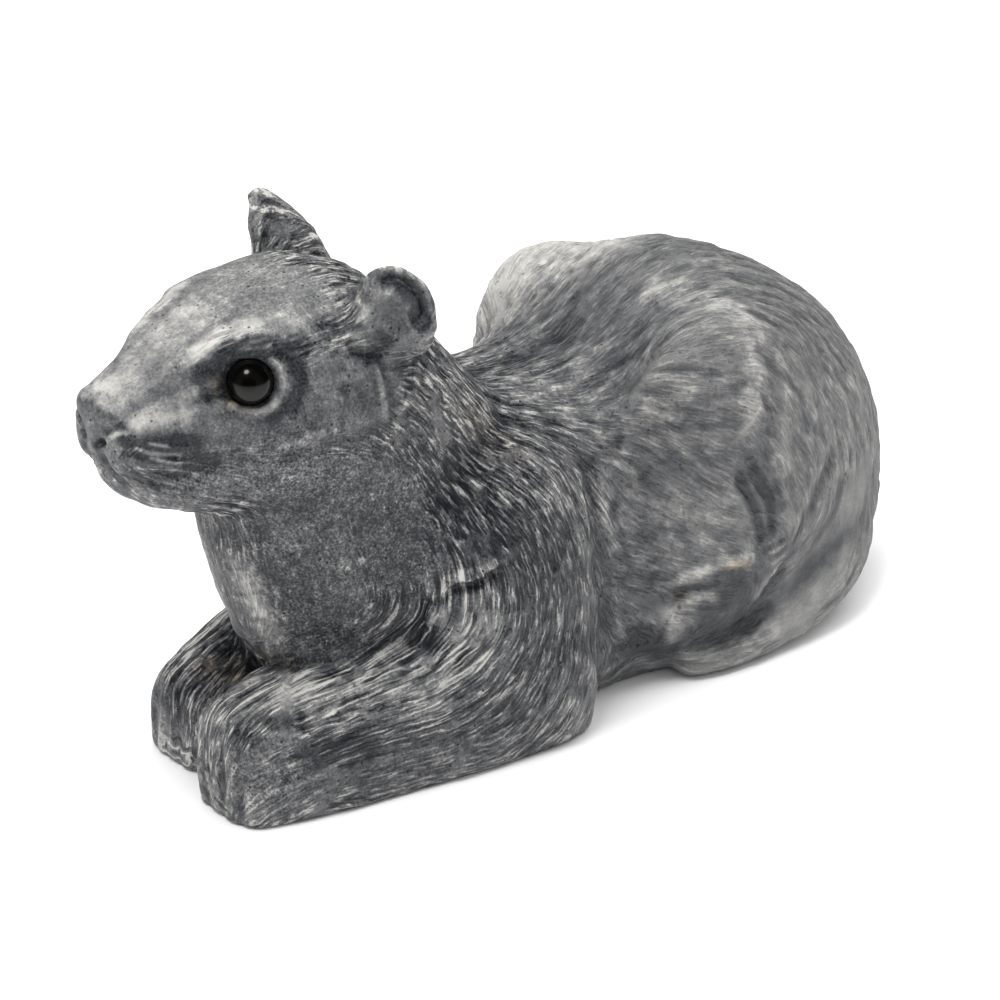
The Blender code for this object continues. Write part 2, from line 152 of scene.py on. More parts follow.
BODY_CUTS = (
    (((3.9, -42.2, 4.4), (3.8, -42, 0.6)), 0.7, 0.20),
    (((6.2, -42.4, 5.4), (6.2, -42.2, 0.6)), 0.7, 0.16),
    (((8.4, -41.8, 4), (8.5, -41.6, 0.6)), 0.7, 0.18),
    # The breast's foot on the forearm, and the ledge of the upper arm
    (((3, -33.4, 12.6), (6.8, -31.6, 12.9), (9.4, -27, 13), (10.6, -23.6, 13.2)),
     1.8, -0.30),
    (ARM_LEDGE, 0.9, 0.50),
    (((11.5, -22.3, 15.4), (12, -21.7, 18.2), (13.4, -20.8, 19.9), (14.7, -18.9, 20.3),
      (15.7, -16.8, 21.8)), 0.9, -0.50),
    (((13.6, -3.4, 26), (14.2, -4.6, 20), (13.8, -3.6, 13), (13.6, -3.4, 7)), 2, 0.40),
    (((15.6, -7.4, 21), (16.2, -7.6, 14), (16.2, -7.6, 8)), 1.8, -0.25),
    # Hip, thigh fold, two gouges, the hind foot's knob, and the tail's edge
    (((15.8, 12.2, 34), (16.8, 12.2, 29), (16.6, 11.2, 24)), 2, -0.22),
    (((15.2, 15.8, 33), (16.4, 15.2, 28), (16.5, 14.6, 23)), 1.6, 0.20),
    (((15, 18.2, 32), (16, 17.2, 26), (16.6, 17, 20)), 1.6, -0.14),
    (((16.1, 11.4, 21.2), (16.3, 13.6, 17.6), (16.1, 14.8, 13.6)), 0.8, 0.24),
    (((16.3, 13.4, 21.4), (16.4, 15.2, 18), (16.2, 16, 14.4)), 0.8, 0.22),
    (((15, 5, 11.8), (16, 9, 12.6), (16, 13.4, 11.8)), 1, -0.25),
    (((15, 5.2, 10.4), (16.1, 9.6, 11.2), (15.8, 14.4, 9.8), (14.8, 16.8, 6.8)), 1, 0.25),
    (((14.6, 5.6, 5.4), (15.8, 9.6, 4), (15.7, 13.6, 3.9), (15.2, 16.8, 5.4)), 1, 0.20),
    (((15.8, 10.2, 7.6),), 2.6, -0.35),
    (((15.3, 17.4, 6.6), (15.6, 20.4, 8.6), (14.8, 25.6, 12), (12.8, 31.6, 16.6)), 1.6, 0.04),
    (((15.6, 16.6, 9.4), (15.8, 18.6, 9.8)), 0.5, 0.22),
    (((15.6, 16.8, 8.2), (15.8, 18.8, 8.6)), 0.5, 0.22),
    (((15.5, 16.8, 10.8), (15.8, 18.4, 11.2)), 0.5, 0.22),
    (((15.4, 16.2, 12.2), (15.8, 17.8, 12.6)), 0.5, 0.22),
    # The spine's hollow behind the shoulders
    (((0, -12, 35.6), (0, -4, 32.4), (0, 2, 32.6)), 3.2, 0.25),
)

# The way that the fur lies, at places on the left side
FUR_WAYS = (
    ((0, -49, 38), (0, 0.3, 1)),
    ((0, -44, 42.5), (0, 1, 0.3)),
    ((3.8, -44.5, 40.5), (0.1, 1, 0.3)),
    ((6, -44, 36.5), (0.2, 1, -0.3)),
    ((4.6, -44, 32), (0.2, 1, -0.5)),
    ((5, -38, 45.5), (0.1, 1, 0.1)),
    ((9.6, -33, 43), (0.1, 1, 0)),
    ((10, -33, 36), (0.1, 1, 0.1)),
    ((0, -32, 47.5), (0, 1, 0)),
    ((0, -22, 45), (0, 1, -0.5)),
    ((11, -25, 47), (0.1, 0.3, 1)),
    ((11.6, -25, 37), (0, 0.75, -0.8)),
    ((10.6, -20, 37), (0.2, 0.8, -0.8)),
    ((11, -21.5, 31), (0.1, 0.55, -0.9)),
    ((11, -22, 24), (0.1, 0.50, -1)),
    ((12.5, -16.5, 28), (0.2, 0.62, -0.8)),
    ((8, -10, 32), (0.3, 0.9, -0.35)),
    ((0, -12, 35), (0, 1, -0.2)),
    ((1, -35.5, 22), (0, 0.1, -1)),
    ((8, -32, 20), (0.1, 0.25, -1)),
    ((10.3, -25.5, 18.5), (0.1, 0.5, -1)),
    ((15, -18.5, 17), (0, 0.55, -0.9)),
    ((16.1, -12.5, 20), (0, 0.3, -1)),
    ((14.1, -5.7, 21), (0, 0.1, -1)),
    ((16.2, -9, 13), (0, -0.15, -1)),
    ((14.7, -19.2, 12.7), (0, -1, -0.85)),
    ((14.1, -24.5, 9.2), (0, -1, -0.12)),
    ((11.2, -26.5, 11.9), (0, -1, 0.10)),
    ((13, -24, 11), (0, -1, 0.00)),
    ((9.5, -31, 11.8), (0, -1, 0.15)),
    ((12.6, -29.4, 9.8), (0, -1, 0.10)),
    ((8, -36, 11.3), (0, -1, 0.10)),
    ((12.2, -35, 5), (0, -1, -0.10)),
    ((12.8, -30, 8), (0, -1, -0.02)),
    ((15.4, -19.8, 4.5), (0, -1, -0.05)),
    ((16.7, -11.4, 6), (0, -0.5, -1)),
    ((9.6, -40, 8.4), (-0.3, -0.8, -0.7)),
    ((6, -42, 5), (0, -0.2, -1)),
    ((13.6, 3.4, 24), (0, 1, -0.50)),
    ((13.4, 0.5, 14), (0, 1, -0.40)),
    ((0, 5, 34), (0, 1, 0.3)),
    ((7, 4, 33.5), (0.1, 1, 0.15)),
    ((13.7, 7.9, 35), (0.1, 1, 0)),
    ((15.5, 6.4, 30.2), (0.1, 1, -0.45)),
    ((16, 8.7, 24), (0, 1, -0.60)),
    ((16, 9, 17), (0, 1, -0.60)),
    ((16, 10, 12.5), (0, 1, -0.25)),
    ((0, 16, 39), (0, 1, 0)),
    ((10, 17, 36), (0.2, 1, -0.3)),
    ((15.4, 19, 27), (0, 0.55, -0.9)),
    ((16.3, 16, 19.6), (0, 0.45, -1)),
    ((8, 30, 32), (0.1, 0.9, -0.7)),
    ((13, 26, 25), (0, 0.55, -0.9)),
    ((13.6, 29, 17), (0, 0.25, -1)),
    ((0, 38, 26), (0, 0.5, -1)),
    ((9, 37, 15), (0, 0.15, -1)),
    ((0, 43, 10), (0, 0, -1)),
    ((13.8, 27, 8), (0.3, -1, -0.6)),
    ((15.8, 19, 4), (0, -1, -0.2)),
    ((15.6, 11, 2.4), (0, -1, 0)),
)
FUR_WAY_REACH = 4.2
FUR_PATCHES = 130
PATCH_EDGE = 0.004
PATCH_OFFSET, LAYER_OFFSET = 0.0173, 0.009

# Sizes and heights of the unevenness of a thing modelled by hand, in metres
SWAY_SIZE, SWAY = 0.004, 0.0004
LUMP_SIZE, LUMP_HEIGHT = 0.0065, 0.00020
PIT_SIZE, PIT_HEIGHT = 0.0020, 0.00006
FOOT_HEIGHT = 0.0012
# Name, rounds of smoothing and height of what stands proud of the smoothed skin. The stone is
# painted lighter where it stands proud, as rubbed wear, and darker in its hollows, as painted
# shade.
WEAR_AND_SHADE = (("fine_wear_and_shade", 6, 0.00010), ("edge", 34, 0.00040))

# Sizes of the stone's patterns, in metres
PATCHES, BLOTCHES, SMUDGES, SPECKLE, GRIT = 0.011, 0.0034, 0.0021, 0.0010, 0.00030
PINHOLES, PINHOLE_GROUPS, CRUMBS = 0.0012, 0.004, 0.0010
WAVER = 0.0008

# Where the skin is smooth, with little fur cut in it: path, reach, share of the fur left
SMOOTH_PLACES = (
    (((0, -47, 39), (0, -41, 44)), 7, 0.05),
    (((5, -44, 39.5), (8.5, -37, 40.5)), 6, 0.05),
    (((6, -43, 33), (8.5, -37, 34.5)), 4.5, 0.30),
    (((10, -33.5, 39), (10.4, -29, 39)), 5.5, 0.06),
    (((0, -36, 46.5), (4.5, -33, 46.5)), 7, 0.12),
    (JAW_TO_THROAT, 4.2, 0.12),
    (((8, -33.6, 27), (8.4, -32, 20), (8, -31, 15)), 5.6, 0.22),
    (((3, -35.6, 21), (3, -34, 14)), 3.6, 0.35),
    (((11.5, -25.2, 45.5),), 5, 0.08),
    (((13.4, -30, 2.6), (15.6, -18, 2.6)), 3.4, 0.70),
    (PAW_TIP, 4.2, 0.50),
    (((15.8, 10.4, 7.6),), 3.8, 0.45),
    (((12.6, 32, 14), (14.7, 25.7, 8), (15.9, 19, 4)), 3.6, 0.22),
)

# Where the grooves are cut boldly: path, width, amount
BOLD_PLACES = (
    (((6.8, -37, 11.4), (9.6, -32.2, 11.6), (11.2, -25.5, 12), (14.4, -20, 13)), 3.6, 1),
    (((11.6, -36.4, 6.4), (13.4, -30, 7), (15, -22, 7)), 2.6, 0.8),
    (((10.6, -24, 14.4), (13.4, -20.4, 20)), 3.6, 0.8),
    (((4.6, -46, 34.6), (5.8, -42.4, 33.6)), 2.6, 0.9),
)

# Where the stone's grain shows most: path, width, amount
COARSE_PLACES = (
    (JAW_TO_THROAT, 5, 1),
    (((2, -36, 26), (8, -33.6, 25), (8, -31.4, 16)), 6, 0.8),
    (((5.4, -43, 33), (8.6, -38, 33.6)), 3.4, 0.7),
    (PAW_TIP, 3.4, 0.5),
)

# Dabs of tone on the left side: path, width, amount
PALE_DABS = (
    # Pale bands down the side of the nose and along the brow: partly the chalky wash, partly
    # painted highlight on their ridges.
    (((2, -48.2, 40.4), (2.9, -45.9, 41.3), (3.8, -43.6, 42)), 1.4, 0.50),
    (((4.5, -43.5, 40.2), (5.1, -41.9, 40.8), (5.6, -40.6, 41.4)), 0.8, 0.55),
    (((4, -46.8, 38.9), (4.6, -44.8, 39.2), (5.1, -43.1, 39.6)), 1.5, 0.75),
    (((4.2, -40.8, 43.8), (4.4, -39.3, 44.7), (4.9, -37.4, 45.3), (5.3, -36.1, 45.6)), 1.4, 1.00),
    (((4.4, -39.6, 44.6), (5.4, -37, 45.4), (6.9, -33, 45.8)), 2.8, 0.45),
    (((8.5, -28.5, 44.9), (7.6, -28.6, 45.5), (6.6, -28.4, 46.1)), 1.8, 0.55),
    (((9.2, -29, 44.4), (9.8, -28.2, 43.2)), 1.3, 0.45),
    (((1.8, -49, 37.2), (3, -48.6, 37.9), (3.4, -48.1, 38.4)), 0.28, 0.70),
    (((4.2, -47.4, 37), (4.8, -46.3, 36.3), (5.5, -43.9, 35.7)), 0.25, 0.80),
    (((4.6, -46.4, 37.3), (5.2, -45, 36.8)), 0.22, 0.65),
    (((4.6, -46.3, 35.9), (5.4, -44.4, 35), (6, -42.4, 34.6)), 0.22, 0.75),
    (((5, -44.6, 34.2), (5.8, -42.6, 33.6)), 0.22, 0.70),
    (((4.4, -46, 33.4), (5.4, -43.4, 32.4)), 0.22, 0.70),
    (((6.5, -38.1, 44.1), (7.8, -36.1, 44.2)), 0.25, 0.80),
    (((10.9, -27.1, 47.9), (11.5, -26.4, 48)), 0.6, 0.65),
    (((12.2, -24.4, 46),), 0.5, 0.65),
    (((10.1, -27.7, 45.5),), 0.9, 0.45),
    # A painted highlight along the top of the ear's rim.
    (((8.9, -27.4, 48), (9.9, -26.8, 49.2), (11.4, -25.2, 49.7)), 0.7, 0.35),
    (((10.8, -27.2, 40.6), (11, -26.9, 38.4), (11.3, -26.7, 36.2)), 0.45, 0.40),
    (((10.4, -22.4, 40), (11.1, -23.6, 37.8), (11.3, -25.4, 36.5)), 0.5, 0.45),
    (((9.8, -35.2, 36), (10.7, -31.7, 36.6), (11.2, -28.3, 36.8)), 0.8, 0.30),
    (((10.2, -30.2, 40.6), (10.5, -29.4, 40.2)), 0.7, 0.50),
    (((8.1, -38.7, 35.6),), 0.6, 0.60),
    (((3.2, -35.4, 19), (3.8, -34.8, 16.8)), 0.9, 0.95),
    (((12.2, -16.9, 28.7), (14.4, -12, 25)), 3.4, 0.15),
    (((11.6, -22.2, 15.6), (12.1, -21.6, 18.4), (13.5, -20.6, 20.2), (15, -18.4, 20.8)),
     0.45, 0.50),
    # The top of the muzzle painted lighter: painted light.
    (((0, -47.4, 41.2), (0.7, -43.4, 43.2), (0.9, -39.4, 45)), 3.4, 0.70),
    (((0, -36, 46.6), (0, -31, 47.6)), 5, 0.28),
    (((11, -26.2, 45.4),), 2.4, 0.60),
    (((10, -27.6, 46.2), (9.6, -28.2, 44.6)), 1, 0.60),
    (((2.4, -35.4, 22), (3.4, -34.8, 15)), 2.2, 0.72),
    (((6.8, -36.6, 11.4), (9.6, -32.2, 11.6), (11.2, -25.5, 12)), 3.4, 0.62),
    # A broad pale dab on the flank: painted light.
    (((13.4, -2, 23), (14.6, 5, 19)), 6, 0.34),
    (((4, -6, 33), (9, -2, 31), (12.6, 2, 30)), 5, 0.46),
    (((10.4, -16.8, 34.6), (11.2, -20.6, 33)), 3, 0.25),
    (((13.8, 26, 24), (13.6, 29, 18), (13.2, 30, 12)), 4.5, 0.30),
    (((5.4, -3.6, 31.6), (4.1, 1.4, 32.6)), 4, 0.25),
    (((14.1, -24.5, 9.6), (14.8, -19.6, 13)), 2.8, 0.62),
    (((13.6, -28.6, 4), (15.6, -18.4, 3.6)), 2.2, 0.25),
    (((5.4, 10, 37.5), (10.1, 13, 36.9), (13.6, 14.6, 34.6)), 2.6, 0.52),
    (((15.4, 13.2, 33.6), (16.6, 12, 29.2), (16.5, 12.6, 26)), 2.2, 0.45),
    (((15.6, 18, 30), (16.2, 17.4, 25), (16.5, 17, 20.4)), 1.6, 0.25),
    (((12.2, 33, 15), (14.6, 26, 8.6), (15.8, 20, 5)), 3.4, 0.15),
    (((14.6, 4.8, 11.9), (15.9, 8.6, 12.9), (15.9, 12, 12.4)), 1, 0.70),
    (((14.6, 4.2, 8.6), (14.7, 4.6, 5.4)), 1.2, 0.60),
    (((15.2, 6.6, 10), (15.7, 8.4, 9.4)), 1, 0.55),
    (((15.7, 16.8, 8.8), (15.8, 18.8, 9.2)), 0.30, 0.50),
    (((15.7, 16.6, 10.1), (15.8, 18.6, 10.5)), 0.30, 0.50),
    (((15.6, 16.4, 11.5), (15.8, 18.2, 11.9)), 0.30, 0.50),
    (((14.6, 12, 2.2), (15.8, 17, 2.8)), 1.4, 0.25),
    (((12.6, 3.4, 15), (15.4, 7.4, 15.6)), 1.8, 0.40),
)
FAR_PALE_DABS = (
    (((-5.6, -40.6, 2.6), (-7, -39.8, 3.4)), 1.6, 0.60),
    (((-12, 5, 33), (-12, 8, 36), (-9.4, 13.6, 37.2)), 7, 0.95),
    (((-10, 0, 31), (-13, 3, 27)), 5, 0.70),
    (((-10, -26.4, 45), (-11.4, -25.4, 48.4)), 2.4, 0.45),
)
DARK_DABS = (
    (((2, -35.6, 22), (7.5, -33, 21), (8.4, -31.4, 16)), 6.5, 0.55),
    (((8.6, -35, 31), (9.8, -29, 28), (10.2, -25.8, 22)), 6, 0.42),
    (((12.6, -18.4, 26), (15.2, -15, 21.5), (15.8, -12.6, 18)), 5.8, 0.60),
    (((10.9, -23, 31), (12, -18, 32)), 5, 0.22),
    (((0, 4, 35), (0, 12, 38.6), (0, 20, 38.4)), 3.6, 0.25),
    (((8.4, -39.6, 8), (11, -38.4, 4.6)), 3.4, 0.32),
    (((8.4, -37.5, 37.6), (10.2, -31.5, 38)), 5.5, 0.44),
    (((13, -31, 4), (16, -17, 4)), 4.6, 0.40),
    # Round the eye
    (((5.8, -40.7, 40.9), (5.6, -40.8, 42.5), (6, -39.3, 43.5), (6.9, -37.6, 44),
      (8.1, -34.9, 43.9), (8.6, -33.6, 43.9)), 1.25, 1.20),
    (((7.6, -36.6, 44.4), (8.4, -34.2, 44.2)), 1, 0.60),
    (((9.8, -34.4, 42.4), (9.9, -34.4, 41), (9.8, -35, 39.4), (9, -37, 38.2)), 0.8, 0.95),
    # Lip, nose leather and chin
    (((3.7, -47.9, 38), (4.2, -47, 37.8), (4.8, -46, 37.5), (5.5, -44.2, 37),
      (5.9, -43, 37)), 0.95, 1.40),
    (((4.4, -46.6, 36.6), (5.2, -45, 36), (5.7, -43.1, 35.2), (6.3, -41.6, 34.6)), 1.3, 0.95),
    (((-0.3, -49.2, 39.4), (1.4, -49, 38.9), (2.8, -48.5, 38.8)), 1.4, 0.40),
    (((1.3, -49, 39.8), (2.6, -48.5, 39.4)), 0.5, 0.60),
    (((1, -49.1, 36.4), (1.4, -48.8, 35.2)), 0.7, 0.70),
    (((3.8, -47.6, 35.2), (4.6, -45.2, 33.6), (5.6, -42.7, 32.9)), 2, 0.38),
    # Ear, with a painted shadow under its rim and painted shade in the hollows at its base
    (((11.4, -26.1, 48.8), (12, -25.3, 48.5), (12.5, -24.6, 47.6), (12.7, -24.2, 46.4),
      (12.7, -24, 45)), 1, 1.30),
    (((10.4, -27.5, 47.3),), 0.7, 0.50),
    # Painted shade in the hollows at the ear's base.
    (((11.1, -26.1, 43.3), (10.8, -26.6, 43.9)), 1.1, 0.60),
    (((9.9, -28.8, 42.6), (10.7, -26.8, 41.8)), 0.7, 0.80),
    (((8.6, -31, 45.2), (9.2, -29.6, 44.8)), 0.7, 0.60),
    (((10.9, -27.6, 39.6), (11, -27.5, 38)), 0.5, 0.60),
    (((10.6, -35.6, 6.6), (13.2, -31.2, 6.8)), 1.9, 0.80),
    (((9.4, -38.4, 9.6), (10.6, -36.4, 10)), 1.3, 0.65),
    (((15, -14, 11), (16.4, -9, 10)), 3, 0.45),
    (((15.2, 8, 5.8), (15.8, 12.4, 5.8)), 2.6, 0.80),
    (((15.6, 9, 8.8), (15.9, 12, 8.6)), 2.6, 0.70),
    (((13.4, 1.2, 6), (14.2, 4, 4)), 2.4, 0.80),
    (((15.9, 11.8, 20.6), (16.3, 13.8, 17), (16, 14.8, 13.6)), 1.2, 0.70),
    (((16.4, 13.6, 21), (16.4, 15.4, 17.4), (16.2, 16.2, 13.8)), 1, 0.60),
    (((16.4, 15.8, 19.4), (16.4, 17, 16.4)), 0.8, 0.50),
    (((16, 17, 14.4), (15.7, 18.6, 12)), 1.2, 0.35),
    (((14.6, 6, 28.4), (13.2, 4, 29.4)), 2.2, 0.45),
    (((15.6, 16.4, 9.4), (15.6, 17.6, 7.8)), 1, 0.40),
    (((15.8, 9, 24), (16, 13, 19)), 4, 0.22),
    (ARM_LEDGE, 0.8, 0.65),
)
FAR_DARK_DABS = (
    (((-6.4, -39.4, 5), (-5, -38, 8.2), (-6.4, -33, 9.8)), 4, 0.60),
    (((-9, -37, 7), (-10, -30, 8)), 4, 0.45),
)
WARM_DABS = (
    (((-3.6, -35.4, 9.8), (-1.6, -34, 9.6)), 1.6, 0.85),
    (((0.6, -33.4, 11), (5, -33, 11.6)), 1.2, 0.70),
    (((15.7, 10.4, 12.2), (15.8, 13, 11.6)), 0.7, 0.80),
    (((14.6, 5.2, 10),), 1.2, 0.40),
    (((10.4, -17, 33.5), (11.8, -13, 29.6)), 2, 0.30),
)


def place(x, y, z):
    """A place on the figure, from its own units, in metres."""
    return ORIGIN + Vector((x, y, z)) * UNIT


def both_sides(entries):
    """Each entry with its first item, a place or a path, also mirrored to the right side."""
    found = []
    for first, *rest in entries:
        found.append((first, *rest))
        found.append((mirrored(first), *rest))
    return found


def mirrored(item):
    if hasattr(item[0], "__len__"):
        return tuple(mirrored(point) for point in item)
    return (-item[0], *item[1:])


def length(name, description, default, **limits):
    return FloatProperty(
        name=name, description=description, default=default, unit="LENGTH", **limits
    )


def colour(name, description, default):
    return FloatVectorProperty(
        name=name, description=description, default=(*default, 1.0), subtype="COLOR", size=4
    )


class LionSettings(bpy.types.PropertyGroup):
    skin_voxel: length(
        "Skin fineness", "Size of the cells that the skin is carved from", 0.00042, min=0.0003
    )
    skin_triangles: IntProperty(
        name="Skin triangles", description="Triangles left once it is carved",
        default=190000, min=20000,
    )
    lock_width: length("Lock width", "Width of a lock of fur", 0.0021)
    lock_length: length("Lock length", "Length of a lock of fur", 0.0090)
    lock_depth: length("Lock depth", "Depth between locks", 0.00034)
    groove_width: length("Groove width", "Width of a carved groove", 0.00095)
    groove_length: length("Groove length", "Length of a carved groove", 0.0050)
    groove_depth: length("Groove depth", "Depth of a carved groove", 0.00028)
    hair_width: length("Hair width", "Width of a needle stroke", 0.00037)
    hair_length: length("Hair length", "Length of a needle stroke", 0.0025)
    line_width: length("Line width", "Width of a long carved line", 0.00038)
    line_length: length("Line length", "Length of a long carved line", 0.0075)
    hair_depth: length("Hair depth", "Depth of a needle stroke", 0.00016)
    stone: colour("Stone", "The cast stone", (0.106, 0.108, 0.113))
    dark_stone: colour("Dark stone", "Stone in its grooves", (0.0090, 0.0102, 0.0140))
    wash: colour("Wash", "The pale wash left on it", (0.51, 0.50, 0.468))
    stain: colour("Stain", "The brown stain in its hollows", (1.0, 0.85, 0.64))


class EyeSettings(bpy.types.PropertyGroup):
    pupil: length("Pupil", "Radius of the pupil", 0.00075)
    iris: length("Iris", "Radius of the iris", 0.0018)
    segments: IntProperty(name="Segments", description="Facets round an eye", default=64, min=16)
    iris_colour: colour("Iris colour", "The glass round the pupil", (0.011, 0.010, 0.008))


class StudioSettings(bpy.types.PropertyGroup):
    floor: colour("Floor", "The paper that it stands on", (0.96, 0.96, 0.96))
    floor_side: length("Floor side", "Side of the paper", 6.0)
    azimuth: FloatProperty(name="Azimuth", description="Degrees round from its front", default=50)
    elevation: FloatProperty(name="Elevation", description="Degrees above level", default=25)
    distance: length("Distance", "From the lens to the aim", 0.4390)
    aim: FloatVectorProperty(
        name="Aim", description="What the lens points at", subtype="TRANSLATION",
        default=(-0.03938, 0.03077, 0.0),
    )
    lens: FloatProperty(name="Lens", description="Focal length, in millimetres", default=108)


def modify(obj, kind, **settings):
    """The object's mesh, as a modifier with these settings makes it."""
    modifier = obj.modifiers.new(kind.title(), kind)
    for name, value in settings.items():
        setattr(modifier, name, value)
    graph = bpy.context.evaluated_depsgraph_get()
    mesh = bpy.data.meshes.new_from_object(obj.evaluated_get(graph))
    obj.modifiers.clear()
    obj.data = mesh


def new_object(name, bm):
    mesh = bpy.data.meshes.new(name)
    bm.to_mesh(mesh)
    bm.free()
    obj = bpy.data.objects.new(name, mesh)
    bpy.context.scene.collection.objects.link(obj)
    return obj


def eye_middle(side):
    low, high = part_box("left_eye" if side == 1 else "right_eye")
    return (low + high) / 2


def eye_radius():
    low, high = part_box("left_eye")
    return (high.z - low.z) / 2


def eye_axis(side):
    return Vector((side * EYE_LOOKS[0], *EYE_LOOKS[1:])).normalized()


def looking(side):
    """The turn that takes +Z to the way that an eye looks."""
    return eye_axis(side).to_track_quat("Z", "Y").to_matrix().to_4x4()


def egg(bm, middle, radii, turn, segments=32):
    place_it = Matrix.Translation(middle) @ turn @ Matrix.Diagonal(Vector(radii)).to_4x4()
    bmesh.ops.create_uvsphere(
        bm, u_segments=segments, v_segments=segments // 2, radius=1, matrix=place_it
    )


def rough_skin():
    """The node's skin with its facets rounded, and its eye sockets filled level with the face."""
    bm = bmesh.new()
    bm.from_mesh(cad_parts["lion"].data)
    bmesh.ops.remove_doubles(bm, verts=bm.verts, dist=1e-6)
    skin = new_object("carved_lion", bm)
    modify(skin, "SUBSURF", levels=2, render_levels=2)
    bm = bmesh.new()
    bm.from_mesh(skin.data)
    radius = eye_radius()
    for side in SIDES:
        level = eye_middle(side) + eye_axis(side) * (radius - EYE_STANDS_PROUD)
        middle = level - eye_axis(side) * radius * SOCKET_FILL_BACK
        egg(bm, middle, [radius * share for share in SOCKET_FILL], looking(side))
    bm.to_mesh(skin.data)
    bm.free()
    return skin


def soften(obj, rounds):
    modify(obj, "SMOOTH", factor=0.5, iterations=rounds)


def thin_out(obj, triangles):
    modify(obj, "TRIANGULATE", quad_method="SHORTEST_DIAGONAL")
    modify(obj, "DECIMATE", ratio=min(1, triangles / len(obj.data.polygons)))


def flatten_base(obj, height=0.0001):
    """A flat underside of few faces, on the ground."""
    bm = bmesh.new()
    bm.from_mesh(obj.data)
    bmesh.ops.bisect_plane(
        bm, geom=bm.verts[:] + bm.edges[:] + bm.faces[:], dist=1e-7,
        plane_co=(0, 0, height), plane_no=(0, 0, -1), clear_outer=True,
    )
    rim = [edge for edge in bm.edges if edge.is_boundary]
    bmesh.ops.triangle_fill(bm, use_beauty=True, edges=rim, normal=(0, 0, -1))
    for vert in bm.verts:
        if vert.co.z < height * 1.01:
            vert.co.z = 0
    bm.to_mesh(obj.data)
    bm.free()


def refine(obj):
    """More faces where the carving is finest."""
    bm = bmesh.new()
    bm.from_mesh(obj.data)
    fine = [(place(*middle), reach * UNIT) for middle, reach in both_sides(FINE_PLACES)]
    inside = {
        v for v in bm.verts if any((v.co - middle).length < reach for middle, reach in fine)
    }
    edges = [e for e in bm.edges if e.verts[0] in inside and e.verts[1] in inside]
    bmesh.ops.subdivide_edges(bm, edges=edges, cuts=1, use_grid_fill=True, smooth=1.0)
    bmesh.ops.triangulate(bm, faces=bm.faces)
    bm.to_mesh(obj.data)
    bm.free()


def skin_arrays(obj):
    count = len(obj.data.vertices)
    points, normals = np.empty(count * 3), np.empty(count * 3)
    obj.data.vertices.foreach_get("co", points)
    obj.data.vertices.foreach_get("normal", normals)
    return points.reshape(-1, 3), normals.reshape(-1, 3)


def skin_edges(obj):
    edges = np.empty(len(obj.data.edges) * 2, dtype=np.int64)
    obj.data.edges.foreach_get("vertices", edges)
    return edges.reshape(-1, 2)


def put_points(obj, points):
    obj.data.vertices.foreach_set("co", points.ravel())
    obj.data.update()


def nearness(points, normals, path, width):
    """1 on a path on the skin, falling to 0 over a width in figure units, on its side only."""
    path = np.array([place(*point) for point in path])
    reach = (width + 5) * UNIT
    within = (points > path.min(axis=0) - reach) & (points < path.max(axis=0) + reach)
    chosen = np.flatnonzero(within.all(axis=1))
    fall = np.zeros(len(points))
    if len(chosen) == 0:
        return fall
    points, normals = points[chosen], normals[chosen]
    found = [np.argmin(((points - point) ** 2).sum(axis=1)) for point in path]
    if len(found) == 1:
        found = found * 2
    nearest = np.full(len(points), np.inf)
    facing = np.zeros(len(points))
    for one, other in zip(found, found[1:]):
        a, run = points[one], points[other] - points[one]
        share = np.clip((points - a) @ run / max(run @ run, 1e-12), 0, 1)[:, None]
        away = np.linalg.norm(points - a - share * run, axis=1)
        turned = ((normals[one] * (1 - share) + normals[other] * share) * normals).sum(axis=1)
        closer = away < nearest
        nearest[closer], facing[closer] = away[closer], turned[closer]
    near = np.clip(1 - (nearest / (width * UNIT)) ** 2, 0, 1) ** 2
    fall[chosen] = near * np.clip(facing * 1.6, 0, 1)
    return fall


def cut_strokes(obj, strokes, at_once=16):
    for first in range(0, len(strokes), at_once):
        points, normals = skin_arrays(obj)
        for path, width, depth in strokes[first:first + at_once]:
            near = nearness(points, normals, path, width)
            points -= normals * (depth * UNIT * near)[:, None]
        put_points(obj, points)


def lid_line(side, across, up, start=0, end=360):
    """Points of an oval line round an eye, in figure units. Its half-axes are in metres,
    and its angles in degrees, from the eye's rear over its top."""
    middle = eye_middle(side) + eye_axis(side) * (eye_radius() - EYE_STANDS_PROUD)
    turn = looking(side)
    line = []
    for angle in np.radians(np.linspace(start, end, 25)):
        point = middle + turn @ Vector((side * across * math.cos(angle), up * math.sin(angle), 0))
        line.append(tuple((point - ORIGIN) / UNIT))
    return line


def crust(side):
    """The crusted lower lid."""
    return lid_line(side, 0.0036, 0.0033, -125, 40)


def all_cuts():
    strokes = list(MIDDLE_CUTS) + both_sides(FACE_CUTS + EAR_CUTS + BODY_CUTS)
    for side in SIDES:
        strokes.append((lid_line(side, 0.0029, 0.0029), 0.6, 0.14))
        strokes.append((crust(side), 0.7, -0.26))
        strokes.append((lid_line(side, 0.0038, 0.0035, 50, 190), 0.6, 0.14))
    return strokes


def fur_ways(points, normals):
    """The way that the fur lies at each point, along the skin."""
    total = np.full(points.shape, 1e-9)
    for at, way in FUR_WAYS:
        for side in SIDES:
            middle, lie = np.array(place(side * at[0], *at[1:])), (side * way[0], *way[1:])
            away = ((points - middle) ** 2).sum(axis=1) / (FUR_WAY_REACH * UNIT) ** 2
            total += np.exp(-away / 2)[:, None] * np.array(lie)
    total -= normals * (total * normals).sum(axis=1)[:, None]
    return total / np.maximum(np.linalg.norm(total, axis=1), 1e-9)[:, None]


